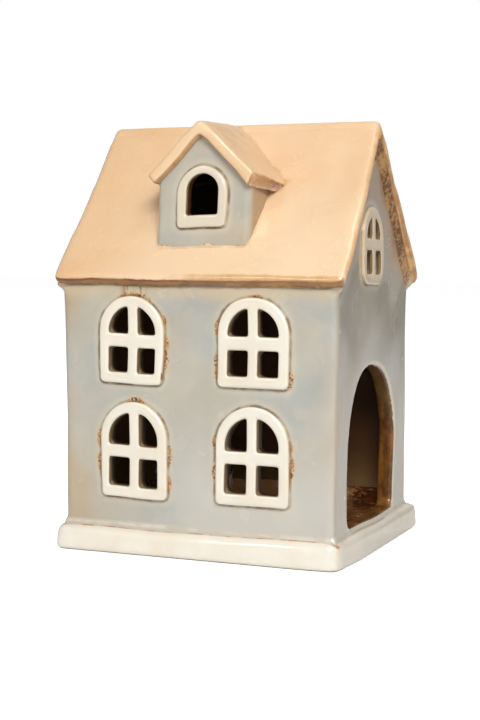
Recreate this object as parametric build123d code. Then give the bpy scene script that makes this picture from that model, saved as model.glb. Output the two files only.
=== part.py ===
from build123d import *
import os
from math import cos, radians, sin, tan

# A glazed stoneware tealight house, built from clay slabs that are joined before firing.
# Lengths are in millimetres and angles in degrees. The house stands on Z = 0, centred on the origin.
# Its windowed front faces -Y, and the gable with the doorway faces +X.

# Plinth and floor
PLINTH_HEIGHT = 12.0
PLINTH_SIDE_LEDGE = 4.8
PLINTH_FRONT_LEDGE = 5.5
PLINTH_CORNER_ROUND = 6.0
PLINTH_TOP_ROUND = 3.0
PLINTH_FOOT_ROUND = 2.0
FOOT_RIM_WIDTH = 14.0
FOOT_RECESS_DEPTH = 3.0
FLOOR_THICKNESS = 3.0
COVE_HEIGHT = 6.0
COVE_LIP = 0.8

# Walls: the front is stacked up from its piers and windows, and the gable from its jambs and doorway
WALL_THICKNESS = 6.0
WALL_CORNER_ROUND = 2.5
LEFT_PIER = 17.6
MIDDLE_PIER = 23.6
RIGHT_PIER = 21.0
LOWER_WINDOW_RISE = 14.5
WINDOW_ROW_GAP = 8.2
EAVE_DROP = 4.2
FRONT_JAMB = 18.6
REAR_JAMB = 21.6

# Doorway in the right gable, where the candle goes in
DOOR_WIDTH = 69.3
DOOR_HEIGHT = 70.6
DOOR_FOOT_ROUND = 4.0

# Window frames, pressed on to the walls around the cut panes
LOWER_WINDOW_WIDTH = 34.8
LOWER_WINDOW_HEIGHT = 43.4
UPPER_WINDOW_WIDTH = 33.5
UPPER_WINDOW_HEIGHT = 39.3
GABLE_WINDOW_WIDTH = 29.0
GABLE_WINDOW_HEIGHT = 35.5
GABLE_WINDOW_RISE = 1.1
GABLE_WINDOW_OFFSET = 5.0
DORMER_WINDOW_WIDTH = 24.4
DORMER_WINDOW_HEIGHT = 27.3
DORMER_WINDOW_RISE = 7.2
DORMER_PANE_WIDTH = 14.6
DORMER_PANE_HEIGHT = 18.2
DORMER_FRAME_RAIL = 5.6
FRAME_DEPTH = 2.2
FRAME_STILE = 4.7
FRAME_CROWN = 5.0
FRAME_RAIL = 5.0
FRAME_MULLION = 4.8
FRAME_TRANSOM = 5.8
FRAME_FOOT_ROUND = 2.2
GABLE_FRAME_FOOT_ROUND = 6.0
FRAME_EDGE_ROUND = 0.8
LOWER_PANE_SHARE = 0.29

# Main roof: two slabs that meet along the ridge, and reach further past the gables at the eaves
ROOF_PITCH = 51.0
ROOF_THICKNESS = 6.0
EAVE_OVERHANG = 0.5
VERGE_AT_EAVE = 5.2
VERGE_AT_RIDGE = 1.8
RIDGE_ROUND = 2.0
ROOF_EDGE_ROUND = 1.4

# Dormer on the front slope
DORMER_WIDTH = 43.3
DORMER_WALL_THICKNESS = 5.0
DORMER_CORNER_ROUND = 2.0
DORMER_SETBACK = 8.2
DORMER_RIDGE_DROP = 3.2
DORMER_PITCH = 42.0
DORMER_ROOF_THICKNESS = 5.5
DORMER_EAVE_OVERHANG = 0.5
DORMER_VERGE = 4.0
DORMER_RIDGE_ROUND = 1.6
LIGHT_WELL_MARGIN = 2.0

# Tealight: a filled metal cup with its wick and the tab that holds the wick upright
CUP_RADIUS = 19.0
CUP_HEIGHT = 16.0
CUP_WALL = 0.4
CUP_RIM_WIDTH = 0.6
WAX_DEPTH = 13.0
WICK_RADIUS = 0.8
WICK_STAND = 6.0
TAB_RADIUS = 5.5
TAB_THICKNESS = 0.3
TAB_NECK_RADIUS = 1.7
TAB_NECK_HEIGHT = 3.0
CANDLE_OFFSET = 25.0
CANDLE_SEAT_GAP = 0.1
FIT_CLEARANCE = 0.05

# How far a cutter runs past what it cuts
OVERRUN = 5.0

# Sizes that follow from the stacks above
WALL_WIDTH = LEFT_PIER + LOWER_WINDOW_WIDTH + MIDDLE_PIER + LOWER_WINDOW_WIDTH + RIGHT_PIER
WALL_DEPTH = FRONT_JAMB + DOOR_WIDTH + REAR_JAMB
SIDE = WALL_WIDTH / 2
FRONT = WALL_DEPTH / 2
INNER_SIDE = SIDE - WALL_THICKNESS
INNER_FRONT = FRONT - WALL_THICKNESS
FLOOR_TOP = PLINTH_HEIGHT + FLOOR_THICKNESS
LOWER_SILL = PLINTH_HEIGHT + LOWER_WINDOW_RISE
UPPER_SILL = LOWER_SILL + LOWER_WINDOW_HEIGHT + WINDOW_ROW_GAP
EAVE_HEIGHT = UPPER_SILL + UPPER_WINDOW_HEIGHT + EAVE_DROP
LEFT_COLUMN = -SIDE + LEFT_PIER + LOWER_WINDOW_WIDTH / 2
RIGHT_COLUMN = SIDE - RIGHT_PIER - LOWER_WINDOW_WIDTH / 2
DOOR_CENTRE = -FRONT + FRONT_JAMB + DOOR_WIDTH / 2

# Roof lines in the Y-Z plane: the underside passes through the outer top edge of the wall
PITCH = radians(ROOF_PITCH)
UNDER_RIDGE = EAVE_HEIGHT + FRONT * tan(PITCH)
RIDGE = UNDER_RIDGE + ROOF_THICKNESS / cos(PITCH)
EAVE_LOW = (FRONT + EAVE_OVERHANG * cos(PITCH), EAVE_HEIGHT - EAVE_OVERHANG * sin(PITCH))
EAVE_TIP = (EAVE_LOW[0] + ROOF_THICKNESS * sin(PITCH), EAVE_LOW[1] + ROOF_THICKNESS * cos(PITCH))

# Dormer lines in the X-Z plane, hung from the main ridge
DORMER_ANGLE = radians(DORMER_PITCH)
DORMER_SIDE = DORMER_WIDTH / 2
DORMER_INNER_SIDE = DORMER_SIDE - DORMER_WALL_THICKNESS
DORMER_FACE = -FRONT + DORMER_SETBACK
DORMER_FOOT = RIDGE + DORMER_FACE * tan(PITCH)
DORMER_RIDGE = RIDGE - DORMER_RIDGE_DROP
DORMER_UNDER_RIDGE = DORMER_RIDGE - DORMER_ROOF_THICKNESS / cos(DORMER_ANGLE)
DORMER_EAVE = DORMER_UNDER_RIDGE - DORMER_SIDE * tan(DORMER_ANGLE)
DORMER_EAVE_LOW = (
    DORMER_SIDE + DORMER_EAVE_OVERHANG * cos(DORMER_ANGLE),
    DORMER_EAVE - DORMER_EAVE_OVERHANG * sin(DORMER_ANGLE),
)
DORMER_EAVE_TIP = (
    DORMER_EAVE_LOW[0] + DORMER_ROOF_THICKNESS * sin(DORMER_ANGLE),
    DORMER_EAVE_LOW[1] + DORMER_ROOF_THICKNESS * cos(DORMER_ANGLE),
)


# Shared shapes
def block(low, high):
    """Box between two corners."""
    size = [b - a for a, b in zip(low, high)]
    return Pos(*low) * Box(*size, align=(Align.MIN, Align.MIN, Align.MIN))


def prism(plane, points, low, high):
    """Polygon drawn on a plane, as a solid from low to high along that plane's normal."""
    face = make_face(Polyline(*points, close=True))
    return extrude(plane.offset(low) * face, high - low)


def chevron(tip, ridge, low, under_ridge):
    """Outline of two roof slabs that lean together, seen from the gable."""
    return [(-tip[0], tip[1]), (0, ridge), tip, low, (0, under_ridge), (-low[0], low[1])]


def front_plane(x, y, z):
    """Plane that faces the front, with its own X along the house and its own Y upwards."""
    return Plane((x, y, z), x_dir=(1, 0, 0), z_dir=(0, -1, 0))


def gable_plane(y, z):
    """Plane on the right gable's outer face, with its own X towards the rear and its own Y upwards."""
    return Plane((SIDE, y, z), x_dir=(0, 1, 0), z_dir=(1, 0, 0))


def under_roof():
    """Everything below the underside of the main roof, within the walls' outer faces."""
    outline = [(-FRONT, 0), (FRONT, 0), (FRONT, EAVE_HEIGHT), (0, UNDER_RIDGE), (-FRONT, EAVE_HEIGHT)]
    return prism(Plane.YZ, outline, -WALL_WIDTH, WALL_WIDTH)


def under_roof_top():
    """Everything below the top faces of the main roof, which the dormer stands on."""
    reach = WALL_DEPTH
    foot = RIDGE - reach * tan(PITCH)
    return prism(Plane.YZ, [(-reach, foot), (reach, foot), (0, RIDGE)], -WALL_WIDTH, WALL_WIDTH)


def under_dormer_roof():
    """Everything below the underside of the dormer roof, within the dormer's outer faces."""
    outline = [
        (-DORMER_SIDE, 0),
        (DORMER_SIDE, 0),
        (DORMER_SIDE, DORMER_EAVE),
        (0, DORMER_UNDER_RIDGE),
        (-DORMER_SIDE, DORMER_EAVE),
    ]
    return prism(Plane.XZ, outline, -WALL_DEPTH, WALL_DEPTH)


# Windows
def arch(width, height):
    """Round-headed opening whose sill is centred on the origin."""
    radius = width / 2
    spring = height - radius
    head = Circle(radius) & Pos(0, radius / 2) * Rectangle(width, radius)
    return Pos(0, spring / 2) * Rectangle(width, spring) + Pos(0, spring) * head


def rounded_arch(width, height, foot_round):
    """Round-headed outline with softened feet."""
    outline = arch(width, height)
    return fillet(outline.vertices().sort_by(Axis.Y)[:2], foot_round)


def four_panes(width, height):
    """The panes of a window: a round-headed light, divided by a mullion and a transom."""
    light = Pos(0, FRAME_RAIL) * arch(width - 2 * FRAME_STILE, height - FRAME_RAIL - FRAME_CROWN)
    transom_middle = FRAME_RAIL + LOWER_PANE_SHARE * height + FRAME_TRANSOM / 2
    mullion = Pos(0, height / 2) * Rectangle(FRAME_MULLION, height)
    transom = Pos(0, transom_middle) * Rectangle(width, FRAME_TRANSOM)
    return light - mullion - transom


def one_pane():
    """The single round-headed pane of the dormer window."""
    return Pos(0, DORMER_FRAME_RAIL) * arch(DORMER_PANE_WIDTH, DORMER_PANE_HEIGHT)


def frame_on(plane, outline, panes):
    """Raised frame on a wall plane, with softened front edges."""
    frame = extrude(plane * (outline - panes), FRAME_DEPTH)
    outward = Axis(plane.origin, plane.z_dir)
    return fillet(frame.faces().sort_by(outward)[-1].edges(), FRAME_EDGE_ROUND)


def pane_cutter(plane, panes, wall):
    """Solid that cuts a window's panes through the wall behind the plane."""
    return extrude(plane.offset(-wall - OVERRUN) * panes, wall + OVERRUN)


FRONT_WINDOWS = {
    "window_frame_lower_left": (LEFT_COLUMN, LOWER_SILL, LOWER_WINDOW_WIDTH, LOWER_WINDOW_HEIGHT),
    "window_frame_lower_right": (RIGHT_COLUMN, LOWER_SILL, LOWER_WINDOW_WIDTH, LOWER_WINDOW_HEIGHT),
    "window_frame_upper_left": (LEFT_COLUMN, UPPER_SILL, UPPER_WINDOW_WIDTH, UPPER_WINDOW_HEIGHT),
    "window_frame_upper_right": (RIGHT_COLUMN, UPPER_SILL, UPPER_WINDOW_WIDTH, UPPER_WINDOW_HEIGHT),
}
GABLE_WINDOW_PLANE = gable_plane(-GABLE_WINDOW_OFFSET, EAVE_HEIGHT + GABLE_WINDOW_RISE)
DORMER_WINDOW_PLANE = front_plane(0, DORMER_FACE, DORMER_FOOT + DORMER_WINDOW_RISE)


# Base
def base_plinth():
    """Slab under the whole house, softened all round, with a shallow recess inside its foot rim."""
    width = WALL_WIDTH + 2 * PLINTH_SIDE_LEDGE
    depth = WALL_DEPTH + 2 * PLINTH_FRONT_LEDGE
    slab = extrude(RectangleRounded(width, depth, PLINTH_CORNER_ROUND), PLINTH_HEIGHT)
    slab = fillet(slab.edges().group_by(Axis.Z)[-1], PLINTH_TOP_ROUND)
    slab = fillet(slab.edges().group_by(Axis.Z)[0], PLINTH_FOOT_ROUND)
    recess = RectangleRounded(width - 2 * FOOT_RIM_WIDTH, depth - 2 * FOOT_RIM_WIDTH, PLINTH_CORNER_ROUND)
    return slab - extrude(recess, FOOT_RECESS_DEPTH)


def floor_slab():
    """Floor inside the walls, level with the doorway's sill, coved up against the three closed walls."""
    rim_top = FLOOR_TOP + COVE_HEIGHT
    slab = block((-INNER_SIDE, -INNER_FRONT, PLINTH_HEIGHT), (INNER_SIDE, INNER_FRONT, rim_top))
    hollow = block(
        (-INNER_SIDE + COVE_LIP, -INNER_FRONT + COVE_LIP, FLOOR_TOP),
        (SIDE + OVERRUN, INNER_FRONT - COVE_LIP, rim_top + COVE_HEIGHT),
    )
    foot = hollow.faces().sort_by(Axis.Z)[0].edges()
    closed_sides = foot.sort_by(Axis.X)[:-1]
    return slab - fillet(closed_sides, COVE_HEIGHT)


# Walls
def long_wall(side):
    """Front wall (side -1) or rear wall (side 1): rounded outer corners, and a top bevelled to the roof."""
    low, high = sorted((side * FRONT, side * INNER_FRONT))
    wall = block((-SIDE, low, PLINTH_HEIGHT), (SIDE, high, UNDER_RIDGE))
    upright = wall.edges().filter_by(Axis.Z).group_by(Axis.Y)
    wall = fillet(upright[0] if side < 0 else upright[-1], WALL_CORNER_ROUND)
    return wall & under_roof()


def front_wall():
    """Front wall with the panes of its four windows cut through."""
    wall = long_wall(-1)
    for x, sill, width, height in FRONT_WINDOWS.values():
        wall -= pane_cutter(front_plane(x, -FRONT, sill), four_panes(width, height), WALL_THICKNESS)
    return wall


def gable_wall(side):
    """Gable wall between the front and rear walls, up to the underside of the roof."""
    low, high = sorted((side * SIDE, side * INNER_SIDE))
    return block((low, -INNER_FRONT, PLINTH_HEIGHT), (high, INNER_FRONT, UNDER_RIDGE)) & under_roof()


def right_gable_wall():
    """Gable with the arched doorway and the panes of the gable window."""
    doorway = rounded_arch(DOOR_WIDTH, DOOR_HEIGHT, DOOR_FOOT_ROUND)
    cutter = pane_cutter(gable_plane(DOOR_CENTRE, FLOOR_TOP), doorway, WALL_THICKNESS)
    panes = four_panes(GABLE_WINDOW_WIDTH, GABLE_WINDOW_HEIGHT)
    return gable_wall(1) - cutter - pane_cutter(GABLE_WINDOW_PLANE, panes, WALL_THICKNESS)


# Main roof
def main_roof():
    """Both roof slabs as one rounded form, with verges that draw in towards the ridge."""
    reach = SIDE + VERGE_AT_EAVE
    roof = prism(Plane.YZ, chevron(EAVE_TIP, RIDGE, EAVE_LOW, UNDER_RIDGE), -reach, reach)
    along = roof.edges().filter_by(Axis.X).group_by(Axis.Z)
    roof = fillet(along[-1], RIDGE_ROUND)
    roof = fillet(roof.edges().filter_by(Axis.X).group_by(Axis.Z)[1], ROOF_EDGE_ROUND)
    drawn_in = SIDE + VERGE_AT_RIDGE
    end = EAVE_TIP[0]
    plan = [(-reach, -end), (reach, -end), (drawn_in, 0), (reach, end), (-reach, end), (-drawn_in, 0)]
    return roof & prism(Plane.XY, plan, 0, RIDGE)


def main_slab(side):
    """Front slab (side -1) or rear slab (side 1) of the main roof, with softened verges."""
    slab = split(main_roof(), Plane.XZ, keep=Keep.TOP if side < 0 else Keep.BOTTOM)
    verges = slab.faces().filter_by(lambda face: abs(face.normal_at().X) > 1 / 2)
    free = verges.edges().filter_by(lambda edge: abs(edge.center().Y) > FIT_CLEARANCE)
    return fillet(free, ROOF_EDGE_ROUND)


def light_well():
    """Cutter for the opening under the dormer, which lets the candle's light into it."""
    half = DORMER_INNER_SIDE - LIGHT_WELL_MARGIN
    inner_face = DORMER_FACE + DORMER_WALL_THICKNESS
    low = RIDGE + inner_face * tan(PITCH) + LIGHT_WELL_MARGIN
    return block((-half, -FRONT, low), (half, 0, DORMER_EAVE))


# Dormer
def dormer_front():
    """Dormer's front wall, standing on the roof slope, with its window cut through."""
    back = DORMER_FACE + DORMER_WALL_THICKNESS
    wall = block((-DORMER_SIDE, DORMER_FACE, DORMER_FOOT), (DORMER_SIDE, back, RIDGE))
    wall = fillet(wall.edges().filter_by(Axis.Z).group_by(Axis.Y)[0], DORMER_CORNER_ROUND)
    wall = (wall & under_dormer_roof()) - under_roof_top()
    return wall - pane_cutter(DORMER_WINDOW_PLANE, one_pane(), DORMER_WALL_THICKNESS)


def dormer_cheek(side):
    """Dormer's side wall: the triangle between its front, its roof and the main slope."""
    low, high = sorted((side * DORMER_SIDE, side * DORMER_INNER_SIDE))
    cheek = block((low, DORMER_FACE + DORMER_WALL_THICKNESS, DORMER_FOOT), (high, 0, RIDGE))
    return (cheek & under_dormer_roof()) - under_roof_top()


def dormer_roof():
    """Both dormer roof slabs as one rounded form, running back into the main slope."""
    face = DORMER_FACE - DORMER_VERGE
    outline = chevron(DORMER_EAVE_TIP, DORMER_RIDGE, DORMER_EAVE_LOW, DORMER_UNDER_RIDGE)
    roof = prism(Plane.XZ, outline, 0, -face)
    roof = fillet(roof.edges().filter_by(Axis.Y).group_by(Axis.Z)[-1], DORMER_RIDGE_ROUND)
    roof = fillet(roof.edges().filter_by(Axis.Y).group_by(Axis.Z)[1], ROOF_EDGE_ROUND)
    return roof - under_roof_top()


def dormer_slab(side):
    """Left slab (side -1) or right slab (side 1) of the dormer roof, with a softened front end."""
    slab = split(dormer_roof(), Plane.YZ, keep=Keep.BOTTOM if side < 0 else Keep.TOP)
    verge = slab.faces().filter_by(lambda face: face.normal_at().Y < -1 / 2)
    free = verge.edges().filter_by(lambda edge: abs(edge.center().X) > FIT_CLEARANCE)
    return fillet(free, ROOF_EDGE_ROUND)


# Tealight
def candle_at(shape):
    """Moves a tealight piece, modelled on its own axis, to its seat on the floor."""
    return Pos(-CANDLE_OFFSET, DOOR_CENTRE, FLOOR_TOP + CANDLE_SEAT_GAP) * shape


def upright(radius, low, high):
    """Cylinder on the Z axis from low to high."""
    return extrude(Plane.XY.offset(low) * Circle(radius), high - low)


def tealight_cup():
    """Pressed metal cup with a narrow rim."""
    cup = upright(CUP_RADIUS, 0, CUP_HEIGHT)
    cup += upright(CUP_RADIUS + CUP_RIM_WIDTH, CUP_HEIGHT - CUP_WALL, CUP_HEIGHT)
    return cup - upright(CUP_RADIUS - CUP_WALL, CUP_WALL, CUP_HEIGHT)


def wick_tab():
    """Metal tab that stands on the cup's bottom and grips the wick in its neck."""
    seat = CUP_WALL
    tab = upright(TAB_RADIUS, seat, seat + TAB_THICKNESS)
    tab += upright(TAB_NECK_RADIUS, seat, seat + TAB_NECK_HEIGHT)
    return tab - upright(WICK_RADIUS + FIT_CLEARANCE, seat + TAB_THICKNESS, seat + TAB_NECK_HEIGHT)


def wick():
    """Wick from inside the tab to above the wax."""
    return upright(WICK_RADIUS, CUP_WALL + TAB_THICKNESS, CUP_WALL + WAX_DEPTH + WICK_STAND)


def wax_fill():
    """Wax that fills the cup around the tab and the wick."""
    seat = CUP_WALL
    wax = upright(CUP_RADIUS - CUP_WALL - FIT_CLEARANCE, seat, seat + WAX_DEPTH)
    wax -= upright(TAB_RADIUS + FIT_CLEARANCE, seat, seat + TAB_THICKNESS)
    wax -= upright(TAB_NECK_RADIUS + FIT_CLEARANCE, seat, seat + TAB_NECK_HEIGHT)
    return wax - upright(WICK_RADIUS + FIT_CLEARANCE, seat, seat + WAX_DEPTH)


def build_pieces():
    """Every piece of the house and of the candle in it, by name."""
    pieces = {"base_plinth": base_plinth(), "floor_slab": floor_slab()}
    pieces["front_wall"] = front_wall()
    pieces["rear_wall"] = long_wall(1)
    pieces["left_gable_wall"] = gable_wall(-1)
    pieces["right_gable_wall"] = right_gable_wall()

    pieces["roof_front_slab"] = main_slab(-1) - light_well()
    pieces["roof_rear_slab"] = main_slab(1)

    pieces["dormer_front"] = dormer_front()
    pieces["dormer_left_cheek"] = dormer_cheek(-1)
    pieces["dormer_right_cheek"] = dormer_cheek(1)
    pieces["dormer_roof_left"] = dormer_slab(-1)
    pieces["dormer_roof_right"] = dormer_slab(1)

    for name, (x, sill, width, height) in FRONT_WINDOWS.items():
        outline = rounded_arch(width, height, FRAME_FOOT_ROUND)
        pieces[name] = frame_on(front_plane(x, -FRONT, sill), outline, four_panes(width, height))
    gable_outline = rounded_arch(GABLE_WINDOW_WIDTH, GABLE_WINDOW_HEIGHT, GABLE_FRAME_FOOT_ROUND)
    gable_panes = four_panes(GABLE_WINDOW_WIDTH, GABLE_WINDOW_HEIGHT)
    pieces["window_frame_gable"] = frame_on(GABLE_WINDOW_PLANE, gable_outline, gable_panes)
    dormer_outline = rounded_arch(DORMER_WINDOW_WIDTH, DORMER_WINDOW_HEIGHT, FRAME_FOOT_ROUND)
    pieces["window_frame_dormer"] = frame_on(DORMER_WINDOW_PLANE, dormer_outline, one_pane())

    pieces["tealight_cup"] = candle_at(tealight_cup())
    pieces["tealight_wax"] = candle_at(wax_fill())
    pieces["tealight_wick_tab"] = candle_at(wick_tab())
    pieces["tealight_wick"] = candle_at(wick())
    return pieces


os.makedirs("parts", exist_ok=True)
for node, piece in build_pieces().items():
    export_step(piece, f"parts/{node}.step")
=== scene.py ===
from functools import reduce
from math import atan2, cos, pi, radians, sin, tan

import bmesh
import bpy
import numpy as np
from mathutils import Euler, Matrix, Vector
from mathutils.bvhtree import BVHTree


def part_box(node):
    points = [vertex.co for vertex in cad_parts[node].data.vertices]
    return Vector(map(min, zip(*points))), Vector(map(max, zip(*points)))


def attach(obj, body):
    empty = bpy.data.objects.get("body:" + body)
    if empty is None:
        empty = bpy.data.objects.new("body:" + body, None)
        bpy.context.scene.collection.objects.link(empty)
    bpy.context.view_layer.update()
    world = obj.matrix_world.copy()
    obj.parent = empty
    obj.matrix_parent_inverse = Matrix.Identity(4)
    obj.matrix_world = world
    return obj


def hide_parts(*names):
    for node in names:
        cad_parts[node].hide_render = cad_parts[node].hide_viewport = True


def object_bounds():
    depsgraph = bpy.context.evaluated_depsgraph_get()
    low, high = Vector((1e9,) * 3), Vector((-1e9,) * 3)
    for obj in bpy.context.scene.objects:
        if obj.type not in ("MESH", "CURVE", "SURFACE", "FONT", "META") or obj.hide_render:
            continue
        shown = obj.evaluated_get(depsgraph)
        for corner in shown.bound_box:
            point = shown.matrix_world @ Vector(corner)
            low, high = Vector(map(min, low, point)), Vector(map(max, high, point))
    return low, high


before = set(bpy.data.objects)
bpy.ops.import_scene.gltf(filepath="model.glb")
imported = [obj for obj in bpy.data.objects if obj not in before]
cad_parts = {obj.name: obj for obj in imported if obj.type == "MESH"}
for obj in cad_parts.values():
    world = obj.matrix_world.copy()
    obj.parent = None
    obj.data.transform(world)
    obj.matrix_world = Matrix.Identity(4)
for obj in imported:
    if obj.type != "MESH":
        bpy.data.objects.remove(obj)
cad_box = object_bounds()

# A glazed stoneware tealight house. The clay pieces are softened copies of the solids, dressed in glazes
# that pool, thin and stain where the real ones do, with light and shade painted into them in places. All of
# it is in the frame of the solids. Lengths are in millimetres, apart from those inside meshes, shader
# coordinates and the studio, which are in metres.
MM = 0.001
FAR = 1000.0
TOUCH = 0.06
MERGE = 0.001
OUT_FRONT = np.array((0.0, -1.0, 0.0))
OUT_RIGHT = np.array((1.0, 0.0, 0.0))


def box_of(node):
    """Lower and upper corners of a solid's box."""
    return np.array(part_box(node)) / MM


# Lines of the house, read from its solids
WALL_LOW, WALL_HIGH = box_of("front_wall")
SIDE, FRONT, PLINTH_TOP = WALL_HIGH[0], -WALL_LOW[1], WALL_LOW[2]
WALL_THICKNESS = WALL_HIGH[1] - WALL_LOW[1]
UNDER_RIDGE = box_of("left_gable_wall")[1][2]
DORMER_LOW, DORMER_HIGH = box_of("dormer_front")
DORMER_FACE, DORMER_SIDE, DORMER_UNDER_RIDGE = DORMER_LOW[1], DORMER_HIGH[0], DORMER_HIGH[2]

# Lines that the boxes don't give, as in the part's source
ROOF_PITCH = radians(51)
ROOF_THICKNESS = 6.0
DORMER_PITCH = radians(42)
DORMER_ROOF_THICKNESS = 5.5
DOOR_RADIUS = 69.3 / 2
DOOR_HEIGHT = 70.6
DOOR_MIDDLE = -1.5
FLOOR_TOP = PLINTH_TOP + 3.0
RIDGE = UNDER_RIDGE + ROOF_THICKNESS / cos(ROOF_PITCH)
DORMER_RIDGE = DORMER_UNDER_RIDGE + DORMER_ROOF_THICKNESS / cos(DORMER_PITCH)

# Clay added by hand: the cove at the foot of the walls, the beads under the verges and the dormer's flare
COVE_REACH = 1.5
COVE_HEIGHT = 3.6
COVE_RISE = 0.2
COVE_SLOPE = 1.3
COVE_WIDTH = 6.0
BEAD_RADIUS = 2.6
DORMER_SPREAD = 0.13
DORMER_SPREAD_END = 30

# Frames of the front wall, with how far the left and right edges of their feet are drawn in
FRONT_FRAMES = {
    "window_frame_upper_left": (0.6, 1.3),
    "window_frame_upper_right": (0.0, 0.0),
    "window_frame_lower_left": (1.2, 0.0),
    "window_frame_lower_right": (0.5, 0.0),
}
PANE_MARGIN = 2.2

# Stretches of the front by their left, right, low and high sides, with how far each is moved to the right
SHIFT_FADE = 7
FRONT_SHIFTS = ((-52, -42, 80, 115, 0.5), (-22, -12, 80, 115, -1.2), (-52, -27, 27, 68, 1.1))

# Rust spots on the front, each beside a frame: how far across it, how far up it, and how far it spreads
RUST_SPOTS = {
    "window_frame_upper_left": (
        (-0.1, 1.0, 7), (0.35, 1.0, 5), (1.0, 0.25, 6), (1.0, 0.45, 6), (0.95, 0.75, 5),
    ),
    "window_frame_upper_right": (
        (-1.0, 0.68, 5), (-1.0, 0.3, 6), (-1.0, 0.15, 5), (1.0, 0.1, 6), (0.1, 1.0, 4),
    ),
    "window_frame_lower_left": (
        (0.05, 1.0, 6), (-1.0, 0.6, 6), (-1.0, 0.35, 6), (1.0, 0.45, 6), (1.0, 0.15, 5),
    ),
    "window_frame_lower_right": (
        (-1.0, 0.62, 5), (-1.0, 0.3, 5), (1.0, 0.4, 7), (1.0, 0.6, 4),
    ),
}


# Soft clay
def clay_from(*nodes):
    """Solids of some nodes as one bmesh, with doubles merged node by node."""
    clay = bmesh.new()
    for node in nodes:
        known = set(clay.verts)
        clay.from_mesh(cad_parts[node].data)
        fresh = [vert for vert in clay.verts if vert not in known]
        bmesh.ops.remove_doubles(clay, verts=fresh, dist=MERGE * MM)
    return clay


def press(clay, inside, move):
    """Moves the vertices that a test picks, so that a piece beds into its neighbour."""
    picked = [vert for vert in clay.verts if inside(vert.co / MM)]
    bmesh.ops.translate(clay, verts=picked, vec=[part * MM for part in move])


def below(ridge, pitch, across, height):
    """Distance below the two slopes that fall from a ridge, negative above them."""
    return (ridge - np.abs(across) * tan(pitch) - height) * cos(pitch)


def new_piece(name, clay, body):
    """Object that holds a finished bmesh and rides on a body."""
    mesh = bpy.data.meshes.new(name)
    clay.to_mesh(mesh)
    clay.free()
    mesh.shade_smooth()
    piece = bpy.data.objects.new(name, mesh)
    bpy.context.scene.collection.objects.link(piece)
    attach(piece, body)
    return piece


def points_of(piece):
    """Vertex positions of a piece, one row each."""
    flat = np.empty(len(piece.data.vertices) * 3)
    piece.data.vertices.foreach_get("co", flat)
    return flat.reshape(-1, 3) / MM


def set_points(piece, points):
    """Puts vertex positions back on a piece."""
    piece.data.vertices.foreach_set("co", points.ravel() * MM)
    piece.data.update()


def normals_of(piece):
    """Vertex normals of a piece, one row each."""
    flat = np.empty(len(piece.data.vertices) * 3, dtype=np.float32)
    piece.data.vertex_normals.foreach_get("vector", flat)
    return flat.reshape(-1, 3)


def hold(piece):
    """Keeps a piece inside the box of the solids."""
    set_points(piece, np.clip(points_of(piece), *(np.array(cad_box) / MM)))


def shift(piece, rule):
    """Moves each vertex of a piece by the steps along x, y and z that a rule gives for its place."""
    points = points_of(piece)
    steps = np.broadcast_arrays(*rule(*points.T))
    set_points(piece, points + np.stack(steps, axis=1))


def levelled(piece, rounds, share=1.0):
    """Vertex positions of a piece after more rounds of smoothing, each vertex by its share."""
    level = points_of(piece)
    ends = np.empty(len(piece.data.edges) * 2, dtype=int)
    piece.data.edges.foreach_get("vertices", ends)
    starts, stops = ends.reshape(-1, 2).T
    count = np.bincount(ends, minlength=len(level))
    for _ in range(rounds):
        for axis in range(3):
            total = np.bincount(starts, level[stops, axis], len(level))
            total += np.bincount(stops, level[starts, axis], len(level))
            level[:, axis] += share * (total / count - level[:, axis]) / 2
    return level


def ease(values, start, end):
    """Smooth step from 0 at start to 1 at end."""
    share = np.clip((values - start) / (end - start), 0, 1)
    return share * share * (3 - 2 * share)


def swell(values, start, full, turn, end):
    """Smooth rise from 0 at start to 1 at full, and fall from 1 at turn to 0 at end."""
    return ease(values, start, full) * ease(values, end, turn)


# Rules of soft clay: how far a vertex at x, y and z moves
def settle(x, y, z):
    """Long low waves that soft clay settles into, which die out at its foot."""
    grounded = ease(z, 1, 14)
    along_x = 0.30 * np.sin(y / 12 + z / 17 + 0.7) + 0.16 * np.sin(y / 7 - z / 9 + 2.0)
    along_y = 0.30 * np.sin(x / 13 + z / 15 + 2.1) + 0.16 * np.sin(x / 8 - z / 7 + 0.4)
    along_z = 0.26 * np.sin(x / 11 + y / 14 + 4.0) + 0.14 * np.sin(x / 6.5 - y / 8 + 1.1)
    return along_x * grounded, along_y * grounded, along_z * grounded


def lean(x, y, z):
    """Leans the left wall out below its eave, and shifts the windows a little, as in a wall cut by hand."""
    on_front = ease(y, -40, -48)
    across = -1.7 * ease(x, -25, -66) * swell(z, 12, 125, 124, 152)
    for left, right, low, high, step in FRONT_SHIFTS:
        beside = swell(x, left - SHIFT_FADE, left, right, right + SHIFT_FADE)
        across += step * beside * swell(z, low - SHIFT_FADE, low, high, high + SHIFT_FADE) * on_front
    upward = 0.9 * swell(z, 94, 107, 114, 121) - 0.7 * swell(z, 17, 25, 29, 37)
    return across, 0, upward * on_front


def thicken(x, y, z):
    """Makes the doorway's gable thicker on its inner side, where the clay was built up."""
    return -2.0 * swell(SIDE - x, 1, 5.5, 8, 30), 0, 0


def curl(x, y, z):
    """Draws the right end of the main roof out, turns its front eave up and raises its crest a little."""
    across = 0.9 * ease(x, 45, 69) * ease(z, 118, 140)
    return across, 0, 0.85 * ease(-y, 47, 59) + 0.8 * ease(np.abs(y), 14, 3)


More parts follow.
